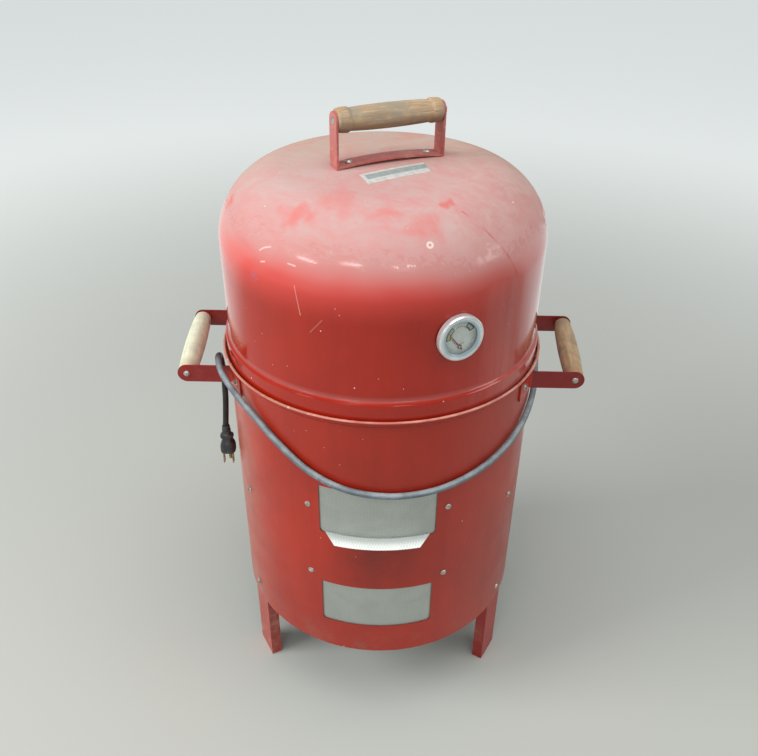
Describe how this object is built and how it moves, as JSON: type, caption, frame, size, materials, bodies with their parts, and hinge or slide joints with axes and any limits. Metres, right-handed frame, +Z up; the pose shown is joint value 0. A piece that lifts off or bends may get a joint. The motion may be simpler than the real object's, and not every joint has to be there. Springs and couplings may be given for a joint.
{
  "type": "electric smoker",
  "caption": "Upright electric smoker: steel drum on three legs with a lift-off domed lid, dial gauge, sliding chip door, wooden grips and a power cord.",
  "frame": {"origin": "on the floor under the drum's axis", "axes": "+Z up along the drum's axis, front with the door towards -Y, +X to the right as seen from the front"},
  "size_m": [0.539, 0.4938, 0.8392],
  "materials": {
    "red_enamel": "gloss",
    "red_strap": "satin",
    "wood": "weathered satin",
    "door_aluminium": "embossed",
    "zinc_steel": "satin",
    "bezel_aluminium": "bright",
    "dial_paint": "matte",
    "clear_glass": "gloss",
    "needle_paint": "satin",
    "grid_wire": "satin",
    "black_enamel": "gloss",
    "element_sheath": "matte",
    "ceramic": "glazed",
    "cover_steel": "satin",
    "relief_rubber": "matte",
    "cord_rubber": "dusty matte",
    "plug_plastic": "satin",
    "blade_brass": "satin"
  },
  "bodies": {
    "drum": {"body_shell": "red_enamel", "door_guide_left": "zinc_steel", "door_guide_right": "zinc_steel", "door_rivets": "zinc_steel", "leg_left": "red_enamel", "leg_right": "red_enamel", "leg_rear": "red_enamel", "leg_screws": "zinc_steel", "leg_nuts": "zinc_steel", "handle_arm_left_front": "red_strap", "handle_arm_left_rear": "red_strap", "handle_arm_right_front": "red_strap", "handle_arm_right_rear": "red_strap", "handle_screws": "zinc_steel", "handle_nuts": "zinc_steel", "grid_rests": "zinc_steel", "grip_left": "wood", "grip_right": "wood", "grip_bolts": "zinc_steel", "grip_nuts": "zinc_steel", "reflector_pan": "zinc_steel", "heating_element": "element_sheath", "element_stands": "zinc_steel", "element_plate": "zinc_steel", "terminal_block": "ceramic", "terminal_cover": "cover_steel", "cover_screws": "zinc_steel", "cover_nuts": "zinc_steel", "strain_relief": "relief_rubber", "power_cord": "cord_rubber", "plug_body": "plug_plastic", "plug_blades": "blade_brass"},
    "lid": {"lid_shell": "red_enamel", "lid_handle_strap": "red_strap", "lid_handle_screws": "zinc_steel", "lid_handle_nuts": "zinc_steel", "lid_grip": "wood", "lid_grip_bolt": "zinc_steel", "lid_grip_nut": "zinc_steel", "gauge_case": "bezel_aluminium", "gauge_stem": "zinc_steel", "gauge_nut": "zinc_steel", "gauge_dial": "dial_paint", "gauge_glass": "clear_glass"},
    "needle": {"gauge_needle": "needle_paint"},
    "door": {"sliding_door": "door_aluminium"},
    "upper_grid": {"upper_grid": "grid_wire"},
    "water_pan": {"water_pan": "black_enamel"},
    "lower_grid": {"lower_grid": "grid_wire"}
  },
  "joints": [
    {"name": "lid_lift", "type": "slide", "parent": "drum", "child": "lid", "axis": [0, 0, 1], "range_m": [0, 0.35]},
    {"name": "needle_turn", "type": "hinge", "parent": "lid", "child": "needle", "pos_m": [0.086, -0.18443, 0.62617], "axis": [-0.4226, 0.9063, 0], "range_deg": [0, 78]},
    {"name": "door_slide", "type": "slide", "parent": "drum", "child": "door", "axis": [0, 0, 1], "range_m": [0, 0.068]},
    {"name": "upper_grid_lift", "type": "slide", "parent": "drum", "child": "upper_grid", "axis": [0, 0, 1], "range_m": [0, 0.11]},
    {"name": "water_pan_lift", "type": "slide", "parent": "drum", "child": "water_pan", "axis": [0, 0, 1], "range_m": [0, 0.055]},
    {"name": "lower_grid_lift", "type": "slide", "parent": "water_pan", "child": "lower_grid", "axis": [0, 0, 1], "range_m": [0, 0.055]}
  ]
}
